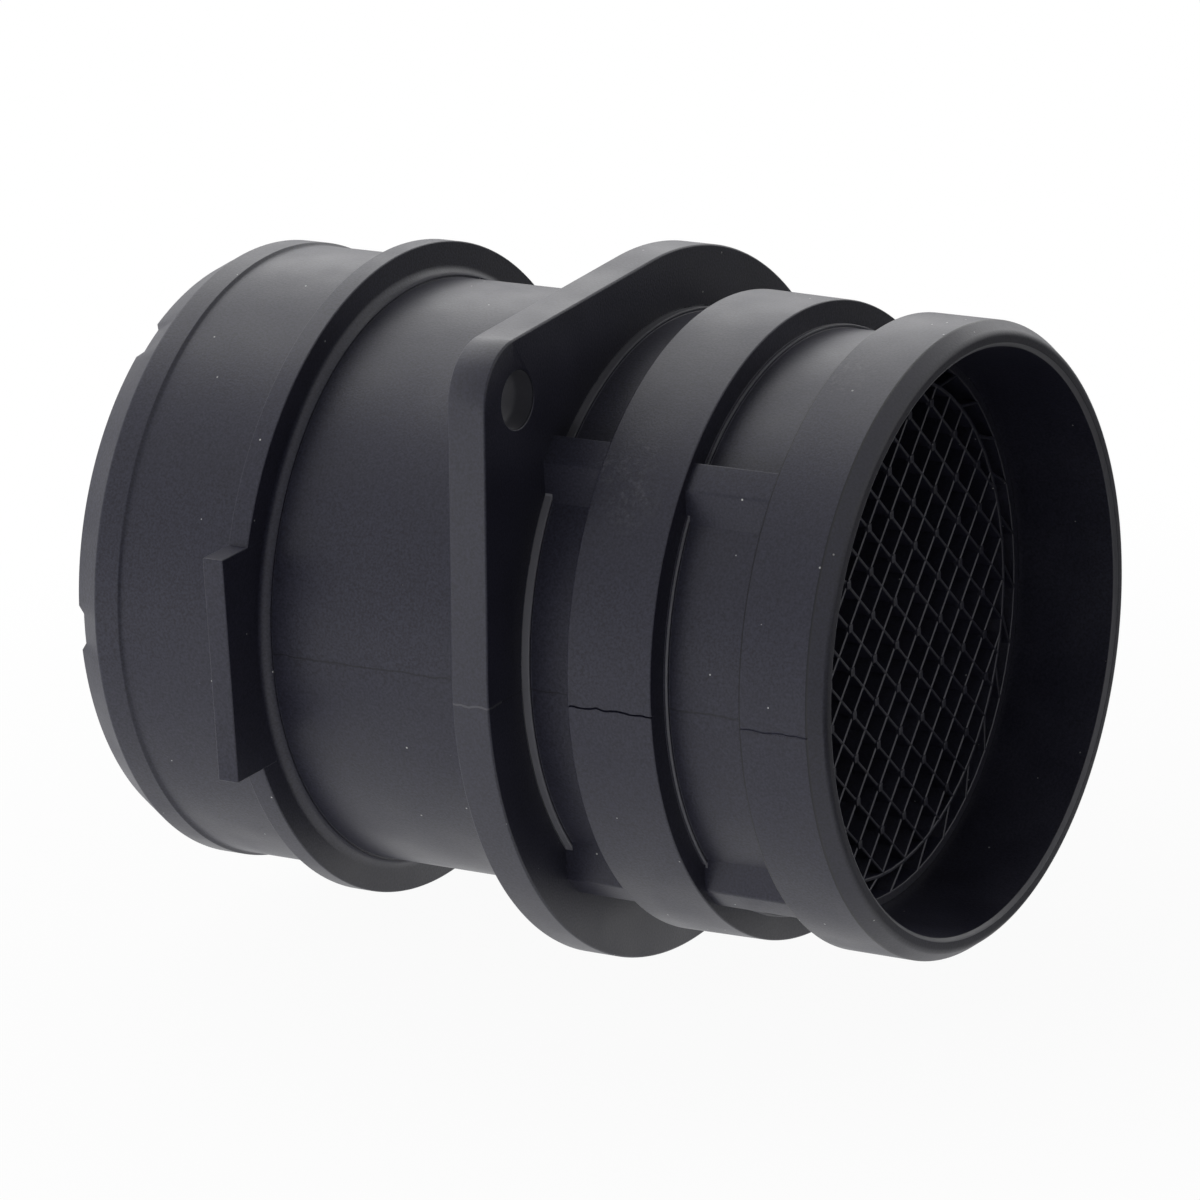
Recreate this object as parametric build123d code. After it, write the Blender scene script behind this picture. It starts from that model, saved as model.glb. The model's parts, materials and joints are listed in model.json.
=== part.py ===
from build123d import *

import os
from math import atan2, cos, degrees, radians, sin

# Mass airflow sensor: a moulded duct tube with a flow grid in its inlet and a slot-in hot-film
# sensor module on one side.  Millimetres.  X runs along the duct towards the inlet mouth and is
# zero on the seating face of the mounting flange.  Y and Z are zero on the duct's axis, the mould
# parts on the plane Z = 0, and the module plugs in from +Y.

# ---- Duct tube: lengths, from the seating face towards the inlet mouth ----
rear_gap = 8.0
collar_width = 11.4
front_gap = 11.6
mouth_band_width = 9.1
mouth_bevel_length = 1.9

# ---- Duct tube: lengths, from the seating face towards the outlet end ----
flange_thickness = 5.15
middle_length = 30.45
stop_ring_foot_radius = 1.25
stop_ring_width = 2.85
spigot_length = 24.5
bead_width = 3.4
bead_run_out = 1.0
lead_in_length = 4.1

# ---- Duct tube: radii ----
bore_radius = 33.6
outlet_bore_radius = 36.0
rim_radius = 37.5
rim_inner_radius = 35.75
mouth_band_radius = 38.84
front_tube_radius = 35.85
collar_radius = 39.36
collar_draft = 0.1
rear_tube_radius = 36.15
middle_tube_radius = 36.75
stop_ring_radius = 41.2
stop_ring_shoulder_step = 0.3
spigot_radius = 38.8
bead_height = 0.4
lead_in_radius = 36.9
lip_height = 0.45
rear_lip_width = 1.0
front_lip_width = 0.5
stop_ring_edge = 0.4
inner_rim_chamfer = 0.45
end_notch_width = 4.1
end_notch_depth = 0.7
end_notch_turns = (0, 60)
bore_flare_length = 9.0
bore_flare_offset = 1.6
cut_overrun = 1.0

# ---- Upright ribs that cross both gaps ----
rib_reach = 29.1
rib_thickness = 2.7
rear_rib_radius = 39.26
front_rib_radius = 38.35

# ---- Mounting flange and the index lug on the stop ring ----
flange_radius = 44.2
flange_ear_radius = 7.4
flange_hole_distance = 49.0
flange_hole_angle = 46.3
flange_hole_radius = 3.5
flange_edge = 0.5
lug_reach = 44.2
lug_width = 28.4
lug_edge = 0.35

# ---- Inlet grid ----
grid_depth_in_mouth = 13.1
grid_frame_thickness = 1.1
grid_frame_depth = 2.8
grid_fit_clearance = 0.05
grid_seat_depth = 0.95
grid_pitch = 3.9
grid_bar_width = 0.42
grid_bar_depth = 2.0
grid_border_gap = 2.5
grid_border_width = 0.45
grid_spokes = 30
grid_spoke_slant = 6.6
grid_spoke_phase = -1.4
grid_spoke_root = 0.35

# ---- Module seat on the duct ----
seat_height = 41.0
seat_length = 26.0
seat_width = 45.0
seat_corner_radius = 3.0
slot_clearance = 0.3
screw_spacing = 35.0
screw_shank_radius = 1.95
screw_hole_clearance = 0.05
screw_grip = 8.0
screw_tip_room = 0.6
screw_head_radius = 3.6
screw_head_height = 2.6
screw_head_edge = 0.65
screw_recess_radius = 1.9
screw_recess_depth = 1.4
screw_plate_clearance = 0.3

# ---- Sensor module: body ----
head_length = 25.0
head_width = 44.0
head_thickness = 3.5
neck_length = 21.0
neck_width = 14.0
neck_overhang = 0.6
groove_depth = 1.6
groove_width = 2.1
groove_offset = 2.6
seal_clearance = 0.05
seal_width = 1.8
paddle_length = 20.0
paddle_thickness = 9.0
paddle_reach = 42.0
paddle_edge_radius = 2.0
cover_thickness = 1.2
cover_gap = 0.1
cover_border = 1.0
cover_bridge = 0.7

# ---- Sensor module: plug socket and terminals ----
socket_length = 23.0
socket_width = 11.0
socket_wall = 1.4
socket_height = 17.5
socket_floor = 2.5
socket_corner_radius = 2.2
socket_key_width = 2.0
socket_key_height = 1.2
socket_key_spacing = 11.5
latch_width = 6.0
latch_length = 2.5
latch_height = 1.6
latch_drop = 3.0
terminal_count = 5
terminal_pitch = 3.4
terminal_width = 1.2
terminal_thickness = 0.6
terminal_stand = 11.0
terminal_landing = 2.4

# ---- Sensor module: electronics ----
pocket_length = 16.4
pocket_height = 21.5
pocket_margin = 2.0
ledge_width = 0.8
base_plate_thickness = 0.8
base_plate_margin = 0.2
board_thickness = 0.64
board_margin = 0.6
board_height = 16.0
signal_chip_size = 5.0
signal_chip_height = 1.0
signal_chip_level = 7.2
signal_chip_edge = 0.2
capacitor_count = 3
capacitor_length = 1.8
capacitor_width = 1.0
capacitor_height = 0.9
capacitor_pitch = 3.6
gel_height = 2.2

# ---- Sensor module: bypass channel and measuring chip ----
channel_depth = 5.9
channel_inlet_height = 3.5
channel_wall = 1.5
channel_upper_height = 9.1
channel_upper_length = 13.0
channel_turn_length = 2.0
channel_tip_margin = 1.7
channel_corner_radius = 1.2
carrier_width = 6.0
carrier_thickness = 1.2
carrier_tip_gap = 0.6
carrier_clearance = 0.1
chip_length = 3.0
chip_width = 2.2
chip_thickness = 0.4
chip_tip_margin = 1.5
outlet_window_length = 3.0
outlet_window_margin = 1.6

# ---- Air temperature probe ----
probe_lead_radius = 0.25
probe_lead_spacing = 2.6
probe_lead_length = 7.0
probe_lead_engagement = 2.0
probe_lead_clearance = 0.05
probe_bead_radius = 1.0
probe_bead_length = 4.0
probe_offset = 1.3

# ---- Places that follow from the sizes above ----
collar_back_x = rear_gap
collar_front_x = collar_back_x + collar_width
band_back_x = collar_front_x + front_gap
band_front_x = band_back_x + mouth_band_width
rim_x = band_front_x + mouth_bevel_length
shoulder_x = -flange_thickness - middle_length
stop_front_x = shoulder_x - stop_ring_foot_radius
stop_back_x = stop_front_x - stop_ring_width
outlet_x = stop_back_x - spigot_length
shoulder_radius = middle_tube_radius + stop_ring_shoulder_step
bead_radius = spigot_radius + bead_height

grid_front_x = rim_x - grid_depth_in_mouth
grid_seat_x = grid_front_x - grid_frame_depth
grid_seat_radius = bore_radius + grid_seat_depth
grid_frame_radius = grid_seat_radius - grid_fit_clearance
grid_frame_inner = grid_frame_radius - grid_frame_thickness
grid_border_radius = grid_frame_inner - grid_border_gap

module_x = -flange_thickness - middle_length / 2
head_top = seat_height + head_thickness
neck_bottom = bore_radius - neck_overhang
paddle_tip = neck_bottom - paddle_reach
paddle_face = paddle_thickness / 2
cover_floor = paddle_face - cover_thickness
pocket_top = neck_bottom - pocket_margin
pocket_bottom = pocket_top - pocket_height
board_face = -terminal_thickness / 2
plate_face = board_face - board_thickness
pocket_floor = plate_face - base_plate_thickness
board_top = pocket_top - board_margin
board_bottom = board_top - board_height
plate_bottom = pocket_bottom + base_plate_margin
socket_top = head_top + socket_height
socket_base = head_top + socket_floor
channel_floor = cover_floor - channel_depth
channel_low = paddle_tip + channel_tip_margin
channel_divider = channel_low + channel_inlet_height
channel_upper = channel_divider + channel_wall
channel_top = channel_upper + channel_upper_height
carrier_tip = channel_upper + carrier_tip_gap
carrier_top = board_bottom - carrier_clearance
ledge_half_length = pocket_length / 2 + ledge_width


def along_x(sketch, start, end):
    return extrude(Plane.YZ.offset(start) * sketch, amount=end - start)


def along_y(sketch, start, end):
    return extrude(Plane.XZ.offset(-start) * sketch, amount=start - end)


def along_z(sketch, start, end):
    return extrude(Plane.XY.offset(start) * sketch, amount=end - start)


def block(x_range, y_range, z_range):
    """A box given by its lowest and highest X, Y and Z."""
    spans = (x_range, y_range, z_range)
    sizes = [high - low for low, high in spans]
    centre = [(low + high) / 2 for low, high in spans]
    return Pos(*centre) * Box(*sizes)


def about_module(half_length):
    return (module_x - half_length, module_x + half_length)


def vertex_near(sketch, x, y):
    return sketch.vertices().sort_by_distance((x, y, 0))[0]


# ---------------------------------------------------------------- duct housing
def outlet_profile():
    """The outer line from the outlet end to the middle tube, as (x, radius) points.

    The stop ring's hollow foot is two cones, through the middle of a quarter circle.
    """
    foot_radius = shoulder_radius + stop_ring_foot_radius
    foot_middle = stop_ring_foot_radius * sin(radians(45))
    bead_back_x = outlet_x + lead_in_length
    bead_front_x = bead_back_x + bead_width
    return [
        (outlet_x, lead_in_radius),
        (bead_back_x, bead_radius),
        (bead_front_x, bead_radius),
        (bead_front_x + bead_run_out, spigot_radius),
        (stop_back_x, spigot_radius),
        (stop_back_x, stop_ring_radius),
        (stop_front_x, stop_ring_radius),
        (stop_front_x, foot_radius),
        (shoulder_x - foot_middle, foot_radius - foot_middle),
        (shoulder_x, shoulder_radius),
        (shoulder_x, middle_tube_radius),
    ]


def inlet_profile():
    """The outer line from the flange to the rim, as (x, radius) points."""
    rear_lip_radius = rear_tube_radius + lip_height
    front_lip_radius = front_tube_radius + lip_height
    return [
        (0, middle_tube_radius),
        (0, rear_lip_radius),
        (rear_lip_width, rear_lip_radius),
        (rear_lip_width, rear_tube_radius),
        (collar_back_x, rear_tube_radius),
        (collar_back_x, collar_radius + collar_draft),
        (collar_front_x, collar_radius - collar_draft),
        (collar_front_x, front_lip_radius),
        (collar_front_x + front_lip_width, front_lip_radius),
        (collar_front_x + front_lip_width, front_tube_radius),
        (band_back_x, front_tube_radius),
        (band_back_x, mouth_band_radius),
        (band_front_x, mouth_band_radius),
        (rim_x, rim_radius),
    ]


def outer_form():
    """The duct as a solid turned form, before its bore is cut."""
    points = [(outlet_x, 0)] + outlet_profile() + inlet_profile() + [(rim_x, 0)]
    profile = make_face(Polyline(*points, close=True))
    for x in (stop_front_x, stop_back_x):
        profile = chamfer(vertex_near(profile, x, stop_ring_radius), stop_ring_edge)
    return revolve(profile, Axis.X)


def flow_path():
    """The air passage: rim recess, grid seat, bore, and the wider outlet."""
    flare_end_x = stop_front_x - bore_flare_offset
    flare_start_x = flare_end_x - bore_flare_length
    points = [
        (outlet_x, 0),
        (outlet_x, outlet_bore_radius),
        (flare_start_x, outlet_bore_radius),
        (flare_end_x, bore_radius),
        (grid_seat_x, bore_radius),
        (grid_seat_x, grid_seat_radius),
        (grid_front_x, grid_seat_radius),
        (rim_x - inner_rim_chamfer, rim_inner_radius),
        (rim_x, rim_inner_radius + inner_rim_chamfer),
        (rim_x, 0),
    ]
    return revolve(make_face(Polyline(*points, close=True)), Axis.X)


def hole_places():
    """Centres of the two flange holes, opposite each other, as (y, z)."""
    across = flange_hole_distance * cos(radians(flange_hole_angle))
    up = flange_hole_distance * sin(radians(flange_hole_angle))
    return [(-across, up), (across, -up)]


def flange_plate():
    """A round plate with two rounded ears, like a taut band round three discs."""
    outline = Circle(flange_radius).edges()
    for y, z in hole_places():
        outline += (Pos(y, z) * Circle(flange_ear_radius)).edges()
    plate = along_x(make_hull(outline), -flange_thickness, 0)
    rims = plate.faces().sort_by(Axis.X)
    return chamfer(rims[0].edges() + rims[-1].edges(), flange_edge)


def flange_holes():
    holes = [Pos(y, z) * Circle(flange_hole_radius) for y, z in hole_places()]
    return along_x(Sketch() + holes, -flange_thickness - cut_overrun, cut_overrun)


def index_lug():
    """The flat-faced block on the stop ring that sets which way the hose clamp sits."""
    lug = block(
        (stop_back_x, stop_front_x),
        (-lug_reach, -spigot_radius),
        (-lug_width / 2, lug_width / 2))
    return chamfer(lug.faces().sort_by(Axis.Y)[0].edges(), lug_edge)


def end_notches():
    """Shallow notches in the outlet's end face, turned about the duct from -Y towards +Z."""
    notches = []
    for turn in end_notch_turns:
        notch = block(
            (outlet_x - cut_overrun, outlet_x + end_notch_depth),
            (-spigot_radius, -bore_radius),
            (-end_notch_width / 2, end_notch_width / 2))
        notches.append(Rot(X=-turn) * notch)
    return Part() + notches


def corner_ribs(start, end, radius):
    """Four axial ribs with upright sides, so that the mould can open along Z."""
    middle = rib_reach - rib_thickness / 2
    webs = [Pos(y, 0) * Rectangle(rib_thickness, 2 * radius) for y in (-middle, middle)]
    return along_x((Sketch() + webs) & Circle(radius), start, end)


def module_seat():
    """The flat pad on the side of the duct that the sensor module is screwed to."""
    pad = block(
        about_module(seat_length / 2),
        (0, seat_height),
        (-seat_width / 2, seat_width / 2))
    return fillet(pad.edges().filter_by(Axis.Y), seat_corner_radius)


def screw_places():
    return [screw_spacing / 2, -screw_spacing / 2]


def module_openings():
    """The plug slot through the wall and the two blind screw holes beside it."""
    slot = SlotOverall(neck_length + 2 * slot_clearance, neck_width + 2 * slot_clearance)
    top = seat_height + cut_overrun
    cuts = along_y(Pos(module_x, 0) * slot, bore_radius / 2, top)
    bottom = seat_height - screw_grip - screw_tip_room
    for z in screw_places():
        hole = Pos(module_x, z) * Circle(screw_shank_radius + screw_hole_clearance)
        cuts += along_y(hole, bottom, top)
    return cuts


def tube_housing():
    housing = outer_form() + flange_plate() + index_lug() + module_seat()
    housing += corner_ribs(0, collar_back_x, rear_rib_radius)
    housing += corner_ribs(collar_front_x, band_back_x, front_rib_radius)
    return housing - flow_path() - flange_holes() - end_notches() - module_openings()


# ------------------------------------------------------------------ inlet grid
def lattice_steps():
    return range(-int(grid_border_radius / grid_pitch), int(grid_border_radius / grid_pitch) + 1)


def lattice_bars():
    """Two crossing families of bars at 45 degrees, with one crossing on the axis."""
    bars = []
    for turn in (45, -45):
        for step in lattice_steps():
            bar = Rectangle(2 * grid_border_radius, grid_bar_width)
            bars.append(Rot(Z=turn) * Pos(0, step * grid_pitch) * bar)
    return Sketch() + bars


def spoke(index):
    """One slanted spoke from the lattice's border to the frame."""
    start = 360 / grid_spokes * index + grid_spoke_phase
    end = start - grid_spoke_slant
    inner = Vector(grid_border_radius - grid_border_width / 2, 0).rotate(Axis.Z, start)
    outer = Vector(grid_frame_inner + grid_spoke_root, 0).rotate(Axis.Z, end)
    run = outer - inner
    turn = degrees(atan2(run.Y, run.X))
    return Pos((inner + outer) / 2) * Rot(Z=turn) * Rectangle(run.length, grid_bar_width)


def many_sided(radius, phase):
    return Rot(Z=phase) * RegularPolygon(radius, grid_spokes)


def grid_border():
    """The ring that the bars end on, its spokes, and the frame that sits in the duct."""
    ring = many_sided(grid_border_radius, grid_spoke_phase)
    ring -= many_sided(grid_border_radius - grid_border_width, grid_spoke_phase)
    return ring + [spoke(index) for index in range(grid_spokes)]


def grid_frame():
    opening = many_sided(grid_frame_inner, grid_spoke_phase - grid_spoke_slant)
    return Circle(grid_frame_radius) - opening


def inlet_grid():
    field = many_sided(grid_border_radius - grid_border_width / 2, grid_spoke_phase)
    bars = (lattice_bars() & field) + grid_border()
    grid = along_x(bars, grid_front_x - grid_bar_depth, grid_front_x)
    return grid + along_x(grid_frame(), grid_seat_x, grid_front_x)


# --------------------------------------------------------------- sensor module
def rounded(length, width, radius):
    return RectangleRounded(length, width, radius)


def module_head():
    """The screw-down plate with its plug socket, keys and latch wedge."""
    outline = rounded(head_length, head_width, seat_corner_radius)
    for z in screw_places():
        outline -= Pos(0, z) * Circle(screw_shank_radius + screw_plate_clearance)
    plate = along_y(Pos(module_x, 0) * outline, seat_height, head_top)
    return plate + plug_socket() + latch_wedge()


def plug_socket():
    """The open-topped box round the terminals, with two keys down one side."""
    place = Pos(module_x, 0)
    outside = rounded(socket_length, socket_width, socket_corner_radius)
    inside = rounded(
        socket_length - 2 * socket_wall,
        socket_width - 2 * socket_wall,
        socket_corner_radius - socket_wall)
    key = Rectangle(socket_key_width, socket_key_height)
    for side in (-1, 1):
        x = side * socket_key_spacing / 2
        outside += Pos(x, -(socket_width + socket_key_height) / 2) * key
    socket = along_y(place * outside, head_top, socket_top)
    return socket - along_y(place * inside, socket_base, socket_top + cut_overrun)


def latch_wedge():
    """The ramp on the socket that the harness plug's latch snaps over."""
    top = socket_top - latch_drop
    face = socket_width / 2
    foot = top - latch_length
    ramp = Polyline((top, face), (foot, face + latch_height), (foot, face), close=True)
    return along_x(make_face(ramp), *about_module(latch_width / 2))


def neck():
    """The plug that fills the duct's slot, with a groove for its seal."""
    place = Pos(module_x, 0)
    outline = SlotOverall(neck_length, neck_width)
    floor = SlotOverall(neck_length - 2 * groove_depth, neck_width - 2 * groove_depth)
    groove_top = seat_height - groove_offset
    plug = along_y(place * outline, neck_bottom, seat_height)
    return plug - along_y(place * (outline - floor), groove_top - groove_width, groove_top)


def paddle():
    """The flat blade that reaches across the air stream, rounded at both edges."""
    blade = block(
        about_module(paddle_length / 2),
        (paddle_tip, neck_bottom),
        (-paddle_face, paddle_face))
    return fillet(blade.edges().filter_by(Axis.Y), paddle_edge_radius)


def electronics_pocket():
    """The well for the board, with a rebate round its mouth for the cover."""
    open_face = paddle_face + cut_overrun
    pocket = block(
        about_module(pocket_length / 2),
        (pocket_bottom, pocket_top),
        (pocket_floor, open_face))
    rebate = block(
        about_module(ledge_half_length),
        (pocket_bottom - ledge_width, pocket_top + ledge_width),
        (cover_floor, open_face))
    return pocket + rebate


def bypass_edges():
    """Lowest and highest Y of the bypass cover's rebate."""
    return (channel_low - ledge_width, pocket_bottom - ledge_width - cover_bridge)


def bypass_channel():
    """A U-turn: in at the leading edge, round the back, and forward over the chip."""
    back = module_x - channel_upper_length / 2
    leading_edge = module_x + paddle_length / 2
    depth = (channel_floor, cover_floor)
    inlet = block((back, leading_edge + cut_overrun), (channel_low, channel_divider), depth)
    upper = block((back, back + channel_upper_length), (channel_upper, channel_top), depth)
    turn = block((back - channel_turn_length, back), (channel_low, channel_top), depth)
    rebate = block(
        about_module(ledge_half_length),
        bypass_edges(),
        (cover_floor, paddle_face + cut_overrun))
    ends = turn.edges().filter_by(Axis.Z).group_by(Axis.X)[0]
    return inlet + upper + fillet(ends, channel_corner_radius) + rebate


def carrier_passage():
    """The way through from the bypass to the electronics, for the chip's carrier."""
    half = carrier_width / 2 + carrier_clearance
    return block(
        about_module(half),
        (channel_top - cut_overrun, pocket_bottom + cut_overrun),
        (plate_face, plate_face + carrier_thickness + carrier_clearance))


def terminal_x(index):
    return module_x + (index - (terminal_count - 1) / 2) * terminal_pitch


def terminal(index):
    """A flat blade from the plug socket down to its landing on the board."""
    half = terminal_width / 2
    return block(
        (terminal_x(index) - half, terminal_x(index) + half),
        (board_top - terminal_landing, socket_base + terminal_stand),
        (-terminal_thickness / 2, terminal_thickness / 2))


def probe_leads(radius):
    """Two straight leads below the neck, of a given radius."""
    z = -paddle_face - probe_offset
    spots = [Pos(x, z) * Circle(radius) for x in about_module(probe_lead_spacing / 2)]
    top = neck_bottom + probe_lead_engagement
    return along_y(Sketch() + spots, neck_bottom - probe_lead_length, top)


def sensor_body():
    body = module_head() + neck() + paddle()
    body -= electronics_pocket() + bypass_channel() + carrier_passage()
    body -= probe_leads(probe_lead_radius + probe_lead_clearance)
    for index in range(terminal_count):
        body -= terminal(index)
    return body


def module_seal():
    """An endless rubber ring of square section, in the neck's groove."""
    outside = slot_clearance - seal_clearance
    inside = groove_depth - seal_clearance
    outline = SlotOverall(neck_length + 2 * outside, neck_width + 2 * outside)
    outline -= SlotOverall(neck_length - 2 * inside, neck_width - 2 * inside)
    level = seat_height - groove_offset - groove_width / 2
    return along_y(Pos(module_x, 0) * outline, level - seal_width / 2, level + seal_width / 2)


def module_screw(z):
    """A thread-forming screw with a flat head and a six-pointed driver recess."""
    place = Pos(module_x, z)
    top = head_top + screw_head_height
    shank = along_y(place * Circle(screw_shank_radius), seat_height - screw_grip, head_top)
    head = along_y(place * Circle(screw_head_radius), head_top, top)
    head = chamfer(head.faces().sort_by(Axis.Y)[-1].edges(), screw_head_edge)
    triangle = RegularPolygon(screw_recess_radius, 3)
    recess = place * (triangle + Rot(Z=180) * triangle)
    return shank + head - along_y(recess, top - screw_recess_depth, top + cut_overrun)


def electronics_cover():
    half = ledge_half_length - cover_gap
    return block(
        about_module(half),
        (pocket_bottom - ledge_width + cover_gap, pocket_top + ledge_width - cover_gap),
        (cover_floor, paddle_face))


def bypass_cover():
    """The lid of the bypass, with the window that lets the measured air out."""
    low, high = bypass_edges()
    lid = block(
        about_module(ledge_half_length - cover_gap),
        (low + cover_gap, high - cover_gap),
        (cover_floor, paddle_face))
    window_end = module_x + channel_upper_length / 2
    window = block(
        (window_end - outlet_window_length, window_end),
        (channel_upper + outlet_window_margin, channel_top - outlet_window_margin),
        (cover_floor - cut_overrun, paddle_face + cut_overrun))
    return lid - window


def base_plate():
    return block(
        about_module(pocket_length / 2 - base_plate_margin),
        (plate_bottom, pocket_top - base_plate_margin),
        (pocket_floor, plate_face))


def board_half_length():
    return pocket_length / 2 - board_margin


def circuit_board():
    return block(
        about_module(board_half_length()),
        (board_bottom, board_top),
        (plate_face, board_face))


def signal_chip():
    level = board_bottom + signal_chip_level
    half = signal_chip_size / 2
    chip = block(
        about_module(half),
        (level - half, level + half),
        (board_face, board_face + signal_chip_height))
    return chamfer(chip.faces().sort_by(Axis.Z)[-1].edges(), signal_chip_edge)


def capacitor(index):
    x = module_x + (index - (capacitor_count - 1) / 2) * capacitor_pitch
    low = board_bottom + board_margin
    return block(
        (x - capacitor_length / 2, x + capacitor_length / 2),
        (low, low + capacitor_width),
        (board_face, board_face + capacitor_height))


def chip_carrier():
    """The moulded strip that holds the measuring chip out in the bypass air."""
    strip = block(
        about_module(carrier_width / 2),
        (carrier_tip, carrier_top),
        (plate_face, plate_face + carrier_thickness))
    return strip - sensor_chip()


def sensor_chip():
    low = carrier_tip + chip_tip_margin
    top = plate_face + carrier_thickness
    return block(about_module(chip_width / 2), (low, low + chip_length), (top - chip_thickness, top))


def gel_fill():
    """The soft gel poured over the electronics, moulded round what stands in it."""
    gel = block(
        about_module(pocket_length / 2),
        (pocket_bottom, pocket_top),
        (pocket_floor, board_face + gel_height))
    gel -= base_plate() + circuit_board()
    gel -= chip_carrier()
    gel -= signal_chip()
    for index in range(capacitor_count):
        gel -= capacitor(index)
    for index in range(terminal_count):
        gel -= terminal(index)
    return gel


def temperature_probe():
    """A glass bead on two stiff leads, in the main air stream."""
    z = -paddle_face - probe_offset
    bead_top = neck_bottom - probe_lead_length + probe_bead_length / 2
    outline = SlotOverall(probe_lead_spacing + 2 * probe_bead_radius, 2 * probe_bead_radius)
    bead = along_y(Pos(module_x, z) * outline, bead_top - probe_bead_length, bead_top)
    return bead + probe_leads(probe_lead_radius)


def main():
    parts = {
        "tube_housing": tube_housing(),
        "inlet_grid": inlet_grid(),
        "sensor_body": sensor_body(),
        "module_seal": module_seal(),
        "electronics_cover": electronics_cover(),
        "bypass_cover": bypass_cover(),
        "base_plate": base_plate(),
        "circuit_board": circuit_board(),
        "signal_chip": signal_chip(),
        "chip_carrier": chip_carrier(),
        "sensor_chip": sensor_chip(),
        "gel_fill": gel_fill(),
        "temperature_probe": temperature_probe(),
    }
    for name, z in zip(("upper", "lower"), screw_places()):
        parts["module_screw_" + name] = module_screw(z)
    for index in range(terminal_count):
        parts["terminal_%d" % (index + 1)] = terminal(index)
    for index in range(capacitor_count):
        parts["capacitor_%d" % (index + 1)] = capacitor(index)
    os.makedirs("parts", exist_ok=True)
    for name, shape in parts.items():
        export_step(shape, "parts/" + name + ".step")


main()
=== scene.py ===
"""A moulded mass airflow sensor: its looks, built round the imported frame."""

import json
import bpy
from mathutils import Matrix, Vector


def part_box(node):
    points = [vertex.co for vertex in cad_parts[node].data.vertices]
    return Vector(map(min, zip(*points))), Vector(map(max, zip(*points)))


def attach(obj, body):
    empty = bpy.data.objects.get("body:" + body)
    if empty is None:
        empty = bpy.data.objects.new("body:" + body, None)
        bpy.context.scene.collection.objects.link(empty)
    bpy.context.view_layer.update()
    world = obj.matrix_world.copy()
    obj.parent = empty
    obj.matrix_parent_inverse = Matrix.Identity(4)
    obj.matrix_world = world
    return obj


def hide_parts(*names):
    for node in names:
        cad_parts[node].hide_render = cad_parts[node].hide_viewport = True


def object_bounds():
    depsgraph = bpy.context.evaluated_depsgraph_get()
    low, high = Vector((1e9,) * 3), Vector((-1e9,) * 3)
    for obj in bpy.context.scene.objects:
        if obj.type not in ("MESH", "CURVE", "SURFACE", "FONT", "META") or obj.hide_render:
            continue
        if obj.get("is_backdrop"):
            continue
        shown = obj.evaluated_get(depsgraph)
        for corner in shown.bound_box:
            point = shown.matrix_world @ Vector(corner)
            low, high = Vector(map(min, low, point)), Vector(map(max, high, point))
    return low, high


bl_info = {
    "name": "Mass airflow sensor",
    "version": (1, 0, 0),
    "blender": (4, 5, 0),
    "location": "3D View > Sidebar > Airflow",
    "description": "Builds a moulded mass airflow sensor round its packed frame",
    "category": "Object",
}

from math import atan2, cos, pi, radians, sin, sqrt

import bmesh
import bpy
from mathutils import Matrix, Vector, noise

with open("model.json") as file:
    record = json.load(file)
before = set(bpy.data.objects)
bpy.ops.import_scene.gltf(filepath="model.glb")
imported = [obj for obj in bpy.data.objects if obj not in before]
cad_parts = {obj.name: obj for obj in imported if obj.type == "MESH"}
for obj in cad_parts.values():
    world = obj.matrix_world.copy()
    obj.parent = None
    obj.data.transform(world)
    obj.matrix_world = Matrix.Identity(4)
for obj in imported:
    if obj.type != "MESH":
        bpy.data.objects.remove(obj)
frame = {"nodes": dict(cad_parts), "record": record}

# Facets round a full turn. A rib is a short arc of its disc, and needs the most.
DUCT_FACETS = 240
FLANGE_FACETS = 480
RIB_FACETS = 720
HOLE_FACETS = 64
FLOOR_FACETS = 96
FACING_X = Matrix.Rotation(pi / 2, 4, "Y")


# ---- small helpers
def mm(value):
    return value / 1000


def length(name, description, value):
    """A size property, written in millimetres."""
    return bpy.props.FloatProperty(name=name, description=description, default=mm(value), unit="LENGTH")


def colour(name, description, value):
    """A colour property, written as an sRGB hex value."""
    return bpy.props.FloatVectorProperty(
        name=name, description=description, default=linear(value), size=3, min=0, max=1, subtype="COLOR")


def linear(value):
    """An sRGB hex colour, such as "1b1c20", as linear red, green and blue."""
    parts = [int(value[start:start + 2], 16) / 255 for start in (0, 2, 4)]
    return tuple(part / 12.92 if part < 0.04045 else ((part + 0.055) / 1.055) ** 2.4 for part in parts)


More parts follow.
